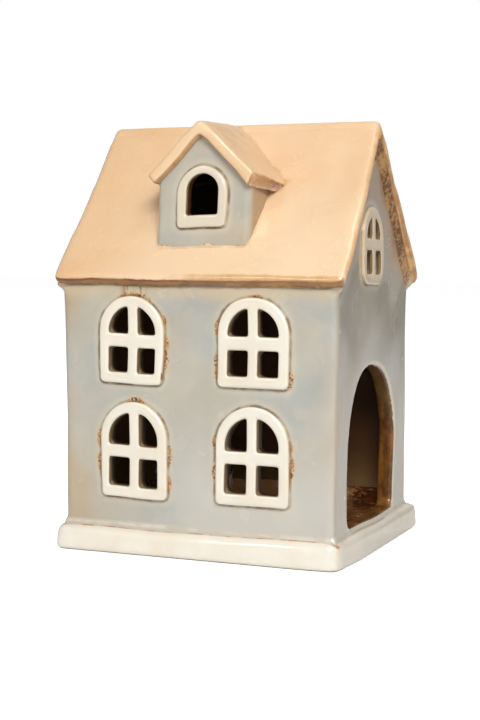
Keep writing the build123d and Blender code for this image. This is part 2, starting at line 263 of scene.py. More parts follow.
def flare(x, y, z):
    """Spreads the dormer towards the back, lifts its ridge, beds the ridge's tail and tips it left."""
    behind = y - DORMER_FACE
    spread = DORMER_SPREAD * np.clip(behind, 0, DORMER_SPREAD_END) * np.clip(x / 20, -1, 1)
    tipped = 0.9 * ease(x, 12, -20) + 0.9 * ease(z, 165, 195)
    near_ridge = ease(np.abs(x), 22, 3)
    rise = 1.3 * ease(z, 172, 188) + 0.09 * np.clip(behind, 0, 37)
    tail = ease(y, -14, -3) * near_ridge
    return spread - tipped, 2.0 * tail, rise * near_ridge - 0.8 * tail


def droop(x, y, z):
    """Lets the lower edge of the dormer's right slab hang, and draws its eave to a point at the back."""
    behind = y - DORMER_FACE
    under = below(DORMER_RIDGE, DORMER_PITCH, x, z)
    right_eave = ease(x, 15, 25)
    hanging = 2.2 * right_eave * ease(under, 1.5, 5.0)
    pointed = 2.6 * ease(x, 18, 26) * ease(behind, 2, 24) * ease(under, 4.5, 1.0)
    return 0.11 * np.clip(behind, 0, DORMER_SPREAD_END) * right_eave, 0, -hanging - pointed


def step_out(x, y, z):
    """Brings the foot of the dormer's front out a little."""
    return 0, -0.8 * ease(z, 154, 143) * ease(y - DORMER_FACE, 9, 3), 0


def slump(x, y, z):
    """Flattens the gable's frame against its wall, widens it and draws its foot in to a U."""
    low, high = box_of("window_frame_gable")
    foot = np.clip(1 - (z - low[2]) / 13, 0, 1)
    drawn = 0.2 * foot ** 2 * ((low[1] + high[1]) / 2 - y)
    wider = 2.4 * (high[1] - y - drawn) / (high[1] - low[1])
    return -0.38 * np.maximum(x - SIDE, 0), drawn - wider, 0.6


def square_up(x, y, z):
    """Squares the plinth's rear right corner, draws the front right one in and lifts the right end."""
    right, rear = x - 64, y - 53.5
    squarer = np.hypot(right, rear) / np.maximum(np.maximum(right, rear), 0.5)
    squarer = np.where((right > 0) & (rear > 0), 0.75 * (squarer - 1), 0)
    front_right = ease(x, 45, 68) * ease(y, -25, -56)
    across = squarer * right - 1.5 * front_right
    return across, squarer * rear + 0.8 * front_right, 1.2 * ease(x + across, 10, 66) * ease(z, 4, 10)


def margin_in(node, outward, points):
    """How far points are inside the round-headed outline of a frame, seen along its outward direction."""
    low, high = box_of(node)
    axis = 1 if outward is OUT_RIGHT else 0
    half = (high[axis] - low[axis]) / 2
    across = np.abs(points[:, axis] - low[axis] - half)
    crown = np.hypot(across, np.maximum(points[:, 2] - high[2] + half, 0))
    return np.minimum(half - crown, points[:, 2] - low[2])


def draw_in(piece, node, left, right, rise):
    """Draws the outer edges of a front frame in: by left and right at its foot, and half as much above."""
    points = points_of(piece)
    low, high = box_of(node)
    middle = (low[0] + high[0]) / 2
    rim = ease(margin_in(node, OUT_FRONT, points), 4.5, 0.5)
    up = 0.5 + 0.5 * ease(points[:, 2], low[2] + rise, low[2] + 2)
    on_right = ease(points[:, 0], middle - 4, middle + 4)
    points[:, 0] += rim * up * (left * (1 - on_right) - right * on_right)
    set_points(piece, points)


def open_panes(piece, node, outward, step):
    """Draws the bars of a frame in around its panes."""
    points, normals = points_of(piece), normals_of(piece)
    margin = margin_in(node, outward, points)
    sideways = ease(normals @ outward, 0.8, 0.3) * (margin > PANE_MARGIN)
    level = ease(np.abs(normals[:, 2]), 0.5, 0.9) * ease(margin, 5, 8)
    set_points(piece, points - normals * (sideways * (step + 0.8 * level))[:, None])


def fire(name, clay, nodes, voxel, rounds):
    """Clay piece of the house as one soft skin: remeshed, smoothed and settled, in place of its nodes."""
    piece = new_piece(name, clay, "house")
    skin = piece.modifiers.new("skin", "REMESH")
    skin.mode = "VOXEL"
    skin.voxel_size = voxel * MM
    soften = piece.modifiers.new("soften", "SMOOTH")
    soften.factor = 0.5
    soften.iterations = rounds
    depsgraph = bpy.context.evaluated_depsgraph_get()
    mesh = bpy.data.meshes.new_from_object(piece.evaluated_get(depsgraph))
    piece.modifiers.clear()
    piece.data = mesh
    mesh.name = name
    mesh.shade_smooth()
    shift(piece, settle)
    hold(piece)
    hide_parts(*nodes)
    return piece


# Clay pieces
def wall_foot_cove():
    """Sloped fillet of clay around the foot of the walls, as a ring."""
    cove = bmesh.new()
    made = bmesh.ops.create_cube(cove, size=1)["verts"]
    size = 2 * (SIDE + COVE_REACH) * MM, 2 * (FRONT + COVE_REACH) * MM, COVE_HEIGHT * MM
    bmesh.ops.scale(cove, verts=made, vec=size)
    bmesh.ops.translate(cove, verts=made, vec=(0, 0, (PLINTH_TOP + COVE_RISE) * MM))
    top = [vert for vert in made if vert.co.z > PLINTH_TOP * MM]
    bmesh.ops.scale(cove, verts=top, vec=(SIDE / (SIDE + COVE_SLOPE), FRONT / (FRONT + COVE_SLOPE), 1))
    caps = [face for face in cove.faces if abs(face.normal.z) > 0.9]
    for cap in caps:
        bmesh.ops.inset_region(cove, faces=[cap], thickness=COVE_WIDTH * MM, use_even_offset=True)
    rims = [edge for cap in caps for edge in cap.edges]
    bmesh.ops.delete(cove, geom=caps, context="FACES_ONLY")
    bmesh.ops.bridge_loops(cove, edges=rims)
    bmesh.ops.recalc_face_normals(cove, faces=cove.faces)
    return cove


def verge_beads():
    """Beads of clay that seal the gables to the underside of the roof, one along each slope."""
    beads = bmesh.new()
    height = UNDER_RIDGE - FRONT / 2 * tan(ROOF_PITCH)
    for side in (-1, 1):
        for slope in (-1, 1):
            middle = Vector((side * SIDE * MM, slope * FRONT / 2 * MM, height * MM))
            turn = Matrix.Rotation(slope * (pi / 2 - ROOF_PITCH), 4, "X")
            bmesh.ops.create_cone(beads, cap_ends=True, segments=12, depth=FRONT / cos(ROOF_PITCH) * MM,
                                  radius1=BEAD_RADIUS * MM, radius2=BEAD_RADIUS * MM,
                                  matrix=Matrix.Translation(middle) @ turn)
    return beads


def add_clay(clay, extra):
    """Adds one bmesh to another."""
    spare = bpy.data.meshes.new("spare")
    extra.to_mesh(spare)
    extra.free()
    clay.from_mesh(spare)
    bpy.data.meshes.remove(spare)


def walls():
    """The four walls, the cove at their foot and the beads at their verges, bedded into plinth and roof."""
    nodes = ("front_wall", "rear_wall", "left_gable_wall", "right_gable_wall")
    clay = clay_from(*nodes)
    press(clay, lambda p: below(UNDER_RIDGE, ROOF_PITCH, p.y, p.z) < TOUCH, (0, 0, 3.0))
    press(clay, lambda p: p.z < PLINTH_TOP + TOUCH, (0, 0, -2.0))
    add_clay(clay, wall_foot_cove())
    add_clay(clay, verge_beads())
    piece = fire("walls", clay, nodes, voxel=1.2, rounds=4)
    shift(piece, thicken)
    shift(piece, lean)
    return piece


def main_roof():
    """Both main slabs as one soft form, rounded at its ends."""
    nodes = ("roof_front_slab", "roof_rear_slab")
    piece = fire("main_roof", clay_from(*nodes), nodes, voxel=1.0, rounds=9)
    set_points(piece, levelled(piece, 26, ease(np.abs(points_of(piece)[:, 0]), 62, 69)))
    shift(piece, curl)
    hold(piece)
    return piece


def on_main_roof(point):
    """Whether a point of the dormer is on the main roof or in it."""
    return below(RIDGE, ROOF_PITCH, point.y, point.z) > -TOUCH


def dormer_roof():
    """Both dormer slabs as one soft form with a rounded ridge, bedded into the main slope."""
    nodes = ("dormer_roof_left", "dormer_roof_right")
    clay = clay_from(*nodes)
    press(clay, on_main_roof, (0, 1.0, -2.5))
    piece = fire("dormer_roof", clay, nodes, voxel=0.6, rounds=14)
    set_points(piece, levelled(piece, 18, ease(np.abs(points_of(piece)[:, 0]), 8, 3)))
    shift(piece, droop)
    shift(piece, flare)
    return piece


def dormer_walls():
    """Dormer front and cheeks, bedded into the main slope and the dormer's roof."""
    nodes = ("dormer_front", "dormer_left_cheek", "dormer_right_cheek")
    clay = clay_from(*nodes)
    press(clay, on_main_roof, (0, 0, -3.0))
    press(clay, lambda p: below(DORMER_UNDER_RIDGE, DORMER_PITCH, p.x, p.z) < TOUCH, (0, 0, 2.5))
    piece = fire("dormer_walls", clay, nodes, voxel=0.6, rounds=5)
    shift(piece, flare)
    shift(piece, step_out)
    return piece


def window_frame(node, outward):
    """Pillow-shaped frame, bedded a little into its wall."""
    clay = clay_from(node)
    low, high = box_of(node)
    axis, back = (0, low[0]) if outward is OUT_RIGHT else (1, high[1])
    press(clay, lambda p: abs(p[axis] - back) < TOUCH, -1.0 * outward)
    piece = fire(node + "_clay", clay, [node], voxel=0.42, rounds=13)
    if node == "window_frame_dormer":
        draw_in(piece, node, left=0.6, right=1.1, rise=10)
        shift(piece, flare)
    elif node == "window_frame_gable":
        shift(piece, slump)
        open_panes(piece, node, outward, step=0.45)
    else:
        draw_in(piece, node, *FRONT_FRAMES[node], rise=12)
        shift(piece, lean)
    return piece


def plinth():
    """Slab under the house, rounded most along its upper edge."""
    piece = fire("plinth", clay_from("base_plinth"), ["base_plinth"], voxel=1.1, rounds=5)
    set_points(piece, levelled(piece, 30, ease(points_of(piece)[:, 2], 2, 6)))
    shift(piece, square_up)
    hold(piece)
    return piece


def floor():
    """Coved floor, which meets the walls all round."""
    return fire("floor", clay_from("floor_slab"), ["floor_slab"], voxel=0.9, rounds=3)


# Shader helpers
def plug(tree, made, plugs):
    """Sets inputs of a node. Another node's output is linked, and a word is a measure on the vertices."""
    for name, value in plugs.items():
        if isinstance(value, str):
            value = add(tree, "Attribute", {}, attribute_name=value).outputs["Fac"]
        if isinstance(value, bpy.types.NodeSocket):
            tree.links.new(value, made.inputs[name])
        else:
            made.inputs[name].default_value = value


def add(tree, kind, plugs, **settings):
    """New shader node with its settings and its inputs."""
    made = tree.nodes.new("ShaderNode" + kind)
    for name, value in settings.items():
        setattr(made, name, value)
    plug(tree, made, plugs)
    return made


def place(tree, stretch=(1, 1, 1)):
    """Object coordinates, stretched where a pattern runs one way."""
    coordinates = tree.nodes.new("ShaderNodeTexCoord").outputs["Object"]
    return add(tree, "Mapping", {"Vector": coordinates, "Scale": stretch}).outputs["Vector"]


def cloud(tree, where, size, detail=3.0, roughness=0.55):
    """Soft noise whose patches are about size across."""
    plugs = {"Vector": where, "Scale": 1 / (size * MM), "Detail": detail, "Roughness": roughness}
    return add(tree, "TexNoise", plugs).outputs["Fac"]


def fade(tree, value, start, end, low=0.0, high=1.0):
    """Smooth change from low to high as the value goes from start to end."""
    plugs = {"Value": value, "From Min": start, "From Max": end, "To Min": low, "To Max": high}
    return add(tree, "MapRange", plugs, interpolation_type="SMOOTHSTEP").outputs["Result"]


def calculate(tree, operation, *values):
    """One sum on two or three values."""
    return add(tree, "Math", dict(enumerate(values)), operation=operation).outputs["Value"]


def both(tree, *masks):
    """Product of several masks."""
    return reduce(lambda one, other: calculate(tree, "MULTIPLY", one, other), masks)


def tint(colour):
    """Linear colour of a screen colour from 0 to 255. Another node's output stays as it is."""
    if isinstance(colour, tuple):
        return tuple((part / 255) ** 2.2 for part in colour) + (1.0,)
    return colour


def lay(tree, colour, *coats):
    """Colour with coats over it in turn, each given as its colour and the masks that it goes on through."""
    for coat, *masks in coats:
        plugs = {"Factor": both(tree, *masks), 6: tint(colour), 7: tint(coat)}
        colour = add(tree, "Mix", plugs, data_type="RGBA").outputs[2]
    return colour


def bumps(tree, height, strength, depth):
    """Normal of a surface that follows a height."""
    plugs = {"Height": height, "Strength": strength, "Distance": depth * MM}
    return add(tree, "Bump", plugs).outputs["Normal"]


def new_group(name, inputs, outputs):
    """Empty shader group with number sockets: its tree, what it is given and the node for its results."""
    tree = bpy.data.node_groups.new(name, "ShaderNodeTree")
    for label, value in inputs.items():
        tree.interface.new_socket(label, in_out="INPUT", socket_type="NodeSocketFloat").default_value = value
    for label in outputs:
        tree.interface.new_socket(label, in_out="OUTPUT", socket_type="NodeSocketFloat")
    return tree, tree.nodes.new("NodeGroupInput").outputs, tree.nodes.new("NodeGroupOutput")


def use(tree, group, **plugs):
    """Places a group in a material and gives its outputs."""
    return add(tree, "Group", plugs, node_tree=group).outputs


# Effects that several glazes share
def glaze_flow_group():
    """How a glaze clouds as it melts: broad patches, and a finer mottle."""
    tree, given, result = new_group("glaze_flow", {"Patch": 30.0}, ("Cloud", "Mottle"))
    where = place(tree)
    plugs = {"Vector": where, "Scale": given["Patch"], "Detail": 2.0, "Distortion": 0.6}
    broad = add(tree, "TexNoise", plugs)
    finer = calculate(tree, "MULTIPLY", given["Patch"], 5.0)
    mottle = add(tree, "TexNoise", {"Vector": where, "Scale": finer, "Detail": 4.0})
    plug(tree, result, {
        "Cloud": fade(tree, broad.outputs["Fac"], 0.36, 0.64),
        "Mottle": fade(tree, mottle.outputs["Fac"], 0.35, 0.7),
    })
    return tree


def iron_pits_group():
    """Scattered pin-sized dark pits in the glaze."""
    tree, given, result = new_group("iron_pits", {"Cells": 90.0, "Share": 0.12}, ("Pits",))
    cells = add(tree, "TexVoronoi", {"Vector": place(tree), "Scale": given["Cells"], "Randomness": 1.0})
    picked = add(tree, "SeparateColor", {"Color": cells.outputs["Color"]})
    chosen = calculate(tree, "LESS_THAN", picked.outputs["Red"], given["Share"])
    wide = fade(tree, picked.outputs["Green"], 0.0, 1.0, 0.025, 0.07)
    spot = calculate(tree, "LESS_THAN", cells.outputs["Distance"], wide)
    plug(tree, result, {"Pits": both(tree, chosen, spot)})
    return tree


def joint_stain_group():
    """Where glazes meet: a dark line in the joint, a pale halo, and a crust of rust specks in its glow."""
    inputs = {"Gap": 10.0, "Rust": 0.0, "Ragged": 1.1}
    tree, given, result = new_group("joint_stain", inputs, ("Line", "Halo", "Crust", "Glow"))
    where = place(tree)
    wander = calculate(tree, "SUBTRACT", cloud(tree, where, 6, 2.0), 0.5)
    gap = calculate(tree, "MULTIPLY_ADD", wander, given["Ragged"], given["Gap"])
    patchy = fade(tree, cloud(tree, where, 9, 2.0), 0.38, 0.62, 0.3, 1.0)
    specks = fade(tree, cloud(tree, where, 1.0, 4.0, 0.65), 0.45, 0.55)
    reach = calculate(tree, "MULTIPLY_ADD", given["Rust"], 2.4, 0.3)
    near = fade(tree, calculate(tree, "SUBTRACT", gap, reach), 0.3, -0.5)
    plug(tree, result, {
        "Line": both(tree, fade(tree, gap, 1.4, 0.6), patchy),
        "Halo": fade(tree, gap, 4.6, 0.9),
        "Crust": both(tree, specks, near, fade(tree, given["Rust"], 0.03, 0.38)),
        "Glow": both(tree, fade(tree, gap, 4.5, 0.6), fade(tree, given["Rust"], 0.0, 0.7)),
    })
    return tree


def glaze_skin_group():
    """Surface of a melted glaze: slow ripples and a faint pinhole grain."""
    tree, given, result = new_group("glaze_skin", {"Ripple": 90.0}, ("Height", "Sheen"))
    where = place(tree)
    ripple = add(tree, "TexNoise", {"Vector": where, "Scale": given["Ripple"], "Detail": 1.5})
    grain = cloud(tree, where, 1.4, 2.0)
    plug(tree, result, {
        "Height": calculate(tree, "MULTIPLY_ADD", grain, 0.06, ripple.outputs["Fac"]),
        "Sheen": cloud(tree, where, 14, 3.0),
    })
    return tree


GLAZE_FLOW = glaze_flow_group()
IRON_PITS = iron_pits_group()
JOINT_STAIN = joint_stain_group()
GLAZE_SKIN = glaze_skin_group()


def new_finish(name):
    """Empty node material, with its tree and its Principled shader."""
    material = bpy.data.materials.new(name)
    material.use_nodes = True
    return material, material.node_tree, material.node_tree.nodes["Principled BSDF"]


def glaze_surface(tree, shader, colour, ripple, depth, gloss, blur):
    """Gives a glaze its colour and its gloss, in slow ripples, and less gloss where the piece is dull."""
    skin = use(tree, GLAZE_SKIN, Ripple=ripple)
    sheen = fade(tree, skin["Sheen"], 0.3, 0.7, *gloss)
    plug(tree, shader, {
        "Base Color": colour,
        "Roughness": calculate(tree, "MAXIMUM", sheen, fade(tree, "dull", 0.0, 1.0, 0.0, 0.55)),
        "IOR": 1.52,
        "Coat Weight": fade(tree, "dull", 0.0, 1.0, 0.8, 0.05),
        "Coat Roughness": blur,
        "Normal": bumps(tree, skin["Height"], strength=1.0, depth=depth),
    })


# Glazes
def peach_glaze():
    """Roof glaze: milky peach, browner where it thins on edges and crusty underneath; painted light makes it
    paler towards the eave and the right, and painted shade darkens its left end, its inside and the dormer's
    right slab near the ridge.
    """
    material, tree, shader = new_finish("fired_peach_glaze")
    flow = use(tree, GLAZE_FLOW, Patch=18.0)
    pits = use(tree, IRON_PITS, Cells=70.0, Share=0.05)["Pits"]
    stain = use(tree, JOINT_STAIN, Gap="joint_gap")
    where = place(tree)
    leftward = add(tree, "SeparateXYZ", {"Vector": where}).outputs["X"]
    ragged = calculate(tree, "MULTIPLY_ADD", cloud(tree, where, 5, 4.0, 0.6), 0.5, -0.25)
    toast = calculate(tree, "ADD", "toast", ragged)
    crumbs = fade(tree, cloud(tree, where, 1.5, 4.0, 0.7), 0.4, 0.6, 0.4, 1.0)
    wander = calculate(tree, "MULTIPLY_ADD", cloud(tree, where, 6, 3.0), 1.6, -0.8)
    lower = calculate(tree, "ADD", "depth", wander)
    browned = fade(tree, cloud(tree, where, 9, 3.0), 0.35, 0.65)
    eave_brown = lay(tree, (136, 90, 38), ((170, 118, 56), browned))
    line = both(tree, fade(tree, lower, 0.2, 0.8), fade(tree, lower, 2.0, 1.2))
    patchy = fade(tree, cloud(tree, where, 11, 2.0), 0.36, 0.6, 0.3, 1.0)
    mould = fade(tree, cloud(tree, where, 4, 4.0), 0.42, 0.58)
    colour = lay(
        tree, (231, 190, 146),
        ((238, 203, 163), flow["Cloud"]),
        ((226, 183, 138), flow["Mottle"], 0.2),
        # painted light: paler towards the eave and towards the right
        ((246, 216, 177), "pool", 0.6),
        # painted shade: the roof's left end darker and warmer, where less light falls
        ((226, 176, 120), fade(tree, leftward, -12 * MM, -60 * MM, 0.0, 0.4)),
        ((214, 160, 108), fade(tree, "edge", 0.35, 0.9), 0.3),
        # browning, with painted shade on the dormer's right slab near its ridge
        ((219, 172, 120), fade(tree, toast, 0.08, 0.35)),
        ((176, 128, 82), fade(tree, toast, 0.38, 0.62)),
        ((108, 70, 42), fade(tree, toast, 0.62, 0.8), crumbs),
        (eave_brown, "eave", 0.95),
        ((130, 68, 34), line, "eave_line", patchy),
        ((100, 80, 34), "eave", fade(tree, lower, 3.0, 4.2), mould, 0.8),
        # painted shade: near-black inside the roofs and the dormer
        ((40, 24, 13), "inside"),
        ((168, 118, 66), stain["Line"], 0.3),
        ((110, 70, 40), pits, 0.8),
    )
    glaze_surface(tree, shader, colour, ripple=70.0, depth=0.25, gloss=(0.16, 0.3), blur=0.14)
    return material


def grey_blue_glaze():
    """Wall glaze: pale grey-blue that clouds to beige, with stained joints and a brown inside; painted light
    and shade lie on the lower gable, low on the right of the front, on edges, at the foot, under the eave,
    in the reveals and inside.
    """
    material, tree, shader = new_finish("fired_grey_blue_glaze")
    flow = use(tree, GLAZE_FLOW, Patch=24.0)
    pits = use(tree, IRON_PITS, Cells=80.0, Share=0.05)["Pits"]
    stain = use(tree, JOINT_STAIN, Gap="frame_gap", Rust="rust")
    where = place(tree)

    # Stains on the outer faces, a pale glaze bead at the foot with a painted glint, and painted shade in the
    # dark line under the eave
    warm = calculate(tree, "ADD", "warmth", cloud(tree, where, 22, 3.0))
    gathered = fade(tree, cloud(tree, where, 8, 3.0), 0.38, 0.6)
    eave = calculate(tree, "MULTIPLY_ADD", cloud(tree, where, 9), 2.4, "roof_gap")
    runs = fade(tree, cloud(tree, place(tree, (1, 1, 0.12)), 1.8, 2.0), 0.47, 0.58)
    scorched = fade(tree, cloud(tree, where, 2.5, 3.0), 0.35, 0.65)
    burnt = lay(tree, (184, 122, 54), ((96, 56, 24), scorched))

    # Crust under the verges
    grains = cloud(tree, where, 1.7, 5.0, 0.75)
    crusty = calculate(tree, "MULTIPLY_ADD", grains, 0.5, "crust")
    scorch = calculate(tree, "MULTIPLY_ADD", cloud(tree, where, 14, 2.0), 0.5, grains)
    burr = lay(tree, (180, 136, 86), ((100, 62, 28), fade(tree, scorch, 0.64, 0.86)))

    # Reveals of the panes and of the doorway, and the inside, with painted shade deep in the pane reveals
    # and inside
    sunk = calculate(tree, "MULTIPLY_ADD", cloud(tree, where, 4, 3.0), -1.2, "depth")
    pane = calculate(tree, "MAXIMUM", fade(tree, sunk, 0.5, 1.1), "pane_reveal")
    reveal = lay(
        tree, (140, 118, 86),
        ((108, 84, 55), cloud(tree, where, 3)),
        # painted shade: darker deeper into the reveal
        ((46, 33, 21), fade(tree, "depth", 0.4, 2.8)),
    )
    streaks = cloud(tree, place(tree, (1, 1, 0.4)), 6, 5.0, 0.65)
    bitten = calculate(tree, "MULTIPLY_ADD", streaks, 0.5, "door_reveal")
    ochre = lay(
        tree, (72, 40, 14),
        ((132, 86, 38), fade(tree, streaks, 0.36, 0.64)),
        ((112, 88, 58), fade(tree, "foot", 38, 62, 0.0, 0.6)),
        ((62, 36, 15), fade(tree, grains, 0.54, 0.66, 0.0, 0.7)),
    )
    # painted shade: the brown inside, darkest away from the floor
    dim = lay(tree, (84, 53, 20), ((122, 92, 56), fade(tree, "foot", 30, 4)))

    # Bare clay along the dormer's foot
    bare = calculate(tree, "MULTIPLY_ADD", cloud(tree, where, 3), 0.8, "bare_foot")
    crack = both(tree, fade(tree, bare, 1.0, 0.75), fade(tree, bare, 0.4, 0.65))
    flecks = fade(tree, cloud(tree, where, 2.2, 3.0), 0.55, 0.66)

    colour = lay(
        tree, (176, 176, 168),
        ((186, 179, 163), flow["Cloud"]),
        ((197, 189, 173), flow["Mottle"], 0.45),
        ((188, 164, 132), fade(tree, warm, 0.75, 1.35, 0.0, 0.75)),
        # painted light: a tone on the lower gable, stronger towards the rear, in place of a fill lamp from
        # the right
        ((174, 163, 143), "gable_low", 0.7),
        # painted light: paler low on the right of the front
        ((212, 210, 202), "pale", 0.5),
        ((158, 125, 88), "gable_top", 0.9),
        # cream on proud edges: glaze breaking thin there, and a painted highlight
        ((214, 202, 176), fade(tree, "edge", 0.45, 0.85), 0.2),
        ((208, 198, 174), stain["Halo"], 0.5),
        ((206, 170, 112), stain["Glow"], 0.5),
        ((206, 196, 176), fade(tree, "foot", 3.4, 2.0), 0.7),
        # a pale glaze bead along the foot, with a painted glint
        ((234, 230, 220), "bead", gathered, 0.5),
        ((218, 206, 182), fade(tree, "door_gap", 3.0, 1.4), 0.7),
        ((212, 190, 154), fade(tree, eave, 6.0, 2.0, 0.0, 0.6)),
        # dark line just under the eave: stain and painted shade
        ((140, 106, 66), fade(tree, eave, 1.3, 0.8, 0.0, 0.4)),
        ((146, 104, 58), runs, "streak", 0.8),
        ((112, 90, 54), stain["Line"], 0.8),
        (burnt, stain["Crust"]),
        ((110, 92, 72), pits, 0.7),
        ((160, 126, 86), fade(tree, "crust", 0.0, 0.7, 0.0, 0.6)),
        (burr, fade(tree, crusty, 0.62, 0.8)),
        (reveal, pane),
        (ochre, fade(tree, bitten, 0.5, 0.75)),
        (dim, "inside"),
        ((236, 198, 156), fade(tree, bare, 0.9, 0.55)),
        ((120, 92, 56), crack, flecks, 0.7),
    )
    glaze_surface(tree, shader, colour, ripple=60.0, depth=0.2, gloss=(0.14, 0.28), blur=0.07)
    return material


def cream_glaze():
    """Thick cream glaze of the frames and the plinth, stained thinly along its joints, with painted shade on
    some frames, on the pane sides and on the plinth's ends, and a dark line at the plinth's foot.
    """
    material, tree, shader = new_finish("fired_cream_glaze")
    flow = use(tree, GLAZE_FLOW, Patch=40.0)
    stain = use(tree, JOINT_STAIN, Gap="joint_gap", Ragged=0.5)
    colour = lay(
        tree, (240, 230, 211),
        ((244, 237, 222), flow["Cloud"]),
        # painted shade: greyer on the dormer frame, warmer and darker on the gable frame and the plinth's
        # ends
        ((207, 193, 168), fade(tree, "tone", 0.0, 0.5)),
        ((222, 196, 158), fade(tree, "tone", 0.5, 1.0)),
        ((236, 222, 198), flow["Mottle"], 0.2),
        ((222, 206, 178), stain["Halo"], 0.22),
        ((172, 112, 56), stain["Line"], "line_strength"),
        # painted shade on the frames' sides within the panes
        ((142, 118, 86), "pane_side"),
        # dark foot line: bare unglazed foot and painted contact shadow
        ((96, 70, 48), fade(tree, "ground", 1.1, 0.3)),
    )
    glaze_surface(tree, shader, colour, ripple=110.0, depth=0.15, gloss=(0.12, 0.24), blur=0.07)
    return material


def brown_glaze():
    """Floor glaze: pooled glossy reddish brown with paler streaks, and a painted patch of light at its rear
    left.
    """
    material, tree, shader = new_finish("fired_brown_glaze")
    flow = use(tree, GLAZE_FLOW, Patch=60.0)
    streaks = cloud(tree, place(tree, (0.5, 1.4, 1)), 7, 5.0, 0.65)
    where = add(tree, "SeparateXYZ", {"Vector": place(tree)}).outputs
    # painted light: a pale patch at the rear left of the floor, as of light from the doorway
    thin = both(tree, fade(tree, where["X"], 32 * MM, 14 * MM), fade(tree, where["Y"], 20 * MM, 34 * MM))
    colour = lay(
        tree, (46, 17, 4),
        ((98, 50, 17), flow["Cloud"]),
        ((226, 166, 110), thin),
        ((196, 146, 98), fade(tree, streaks, 0.54, 0.66, 0.0, 0.7)),
    )
    glaze_surface(tree, shader, colour, ripple=140.0, depth=0.5, gloss=(0.1, 0.3), blur=0.07)
    return material


# Candle finishes
def bare_metal(name, dark, pale, grain, detail, stretch=(1, 1, 1)):
    """Thin bare metal with faint working marks."""
    material, tree, shader = new_finish(name)
    marks = cloud(tree, place(tree, stretch), grain, detail)
    plug(tree, shader, {
        "Base Color": lay(tree, dark, (pale, marks)),
        "Metallic": 1.0,
        "Roughness": fade(tree, marks, 0.3, 0.7, 0.3, 0.45),
    })
    return material


def cup_aluminium():
    """Thin pressed aluminium with drawing marks round the cup."""
    return bare_metal("cup_aluminium_finish", (206, 206, 208), (226, 226, 228), 1.2, 2.0, (0.15, 0.15, 3))


def tab_steel():
    """Thin tinned steel of the wick tab."""
    return bare_metal("tab_steel_finish", (176, 176, 178), (200, 200, 202), 2, 3.0)


def candle_wax():
    """White paraffin with a faint bloom."""
    material, tree, shader = new_finish("candle_wax_finish")
    bloom = cloud(tree, place(tree), 5, 4.0)
    plug(tree, shader, {
        "Base Color": lay(tree, (240, 236, 226), ((250, 248, 242), fade(tree, bloom, 0.35, 0.65))),
        "Roughness": fade(tree, bloom, 0.3, 0.7, 0.34, 0.5),
        "Normal": bumps(tree, bloom, strength=0.5, depth=0.1),
        "Subsurface Weight": 0.3,
        "Subsurface Radius": (3 * MM, 2.5 * MM, 2 * MM),
        "Subsurface Scale": 1.0,
    })
    return material


def wick_cotton():
    """Braided cotton, waxed."""
    material, tree, shader = new_finish("wick_cotton_finish")
    plugs = {"Vector": place(tree, (1, 1, 0.6)), "Scale": 420.0, "Distortion": 1.5}
    strands = add(tree, "TexWave", plugs, bands_direction="DIAGONAL").outputs["Fac"]
    plug(tree, shader, {
        "Base Color": lay(tree, (196, 190, 176), ((240, 236, 226), strands)),
        "Roughness": 0.75,
        "Normal": bumps(tree, strands, strength=0.6, depth=0.15),
    })
    return material


def dress(pieces, material):
    """Gives pieces their finish."""
    for piece in pieces:
        piece.data.materials.clear()
        piece.data.materials.append(material)


# House
house_walls = walls()
house_roof = main_roof()
dormer_cap = dormer_roof()
dormer_box = dormer_walls()
front_frames = [window_frame(node, OUT_FRONT) for node in FRONT_FRAMES]
gable_frame = window_frame("window_frame_gable", OUT_RIGHT)
dormer_frame = window_frame("window_frame_dormer", OUT_FRONT)
house_plinth = plinth()
house_floor = floor()


# Measures that the glazes follow, kept on each piece's vertices
def keep(piece, **measures):
    """Stores measures under their names, each one a number for every vertex or one number for all."""
    count = len(piece.data.vertices)
    for name, values in measures.items():
        numbers = np.broadcast_to(values, count).astype(np.float32)
        piece.data.attributes.new(name, "FLOAT", "POINT").data.foreach_set("value", numbers)


def gap_to(piece, *others):
    """Distance from each vertex of a piece to the nearest face of some others."""
    depsgraph = bpy.context.evaluated_depsgraph_get()
    trees = [BVHTree.FromObject(other, depsgraph) for other in others]
    gaps = [[tree.find_nearest(point)[3] for point in points_of(piece) * MM] for tree in trees]
    return np.min(gaps, axis=0) / MM


def proud(piece, rounds):
    """How far each vertex stands out of its surroundings: positive on edges, negative in creases."""
    return ((points_of(piece) - levelled(piece, rounds)) * normals_of(piece)).sum(axis=1)


def slope_facing(outward, upward, pitch):
    """How far a roof's surface faces out of its slope, and how far it faces down the slope."""
    return outward * sin(pitch) + upward * cos(pitch), outward * cos(pitch) - upward * sin(pitch)


def rust_on(points):
    """How rusty each point of the walls is, from 0 to 1."""
    rust = np.zeros(len(points))
    for node, spots in RUST_SPOTS.items():
        low, high = box_of(node)
        for across, up, spread in spots:
            centre = low + np.array(((1 + across) / 2, 0, up)) * (high - low)
            reach = np.linalg.norm(points - centre, axis=1) / spread
            rust = np.maximum(rust, 1 - ease(reach, 0.2, 1.2))
    return rust


def streaks_on(points):
    """Where rust has run between the eave and the upper left frame, from 0 to 1."""
    low, high = box_of("window_frame_upper_left")
    across = np.abs(points[:, 0] - (low[0] + high[0]) / 2)
    return ease(across, 8, 3) * ease(points[:, 2] - high[2], -3, 0) * (points[:, 1] < low[1] + 4)


def panes_on(points):
    """How far each point of the walls is in the panes of a frame, from 0 to 1."""
    panes = np.zeros(len(points))
    for node in (*FRONT_FRAMES, "window_frame_gable"):
        low, high = box_of(node)
        back, outward = (high, OUT_FRONT) if node in FRONT_FRAMES else (low, OUT_RIGHT)
        near = np.abs((points - back) @ outward) < 9
        within = ease(margin_in(node, outward, points), PANE_MARGIN - 1, PANE_MARGIN)
        panes = np.maximum(panes, within * near)
    return panes


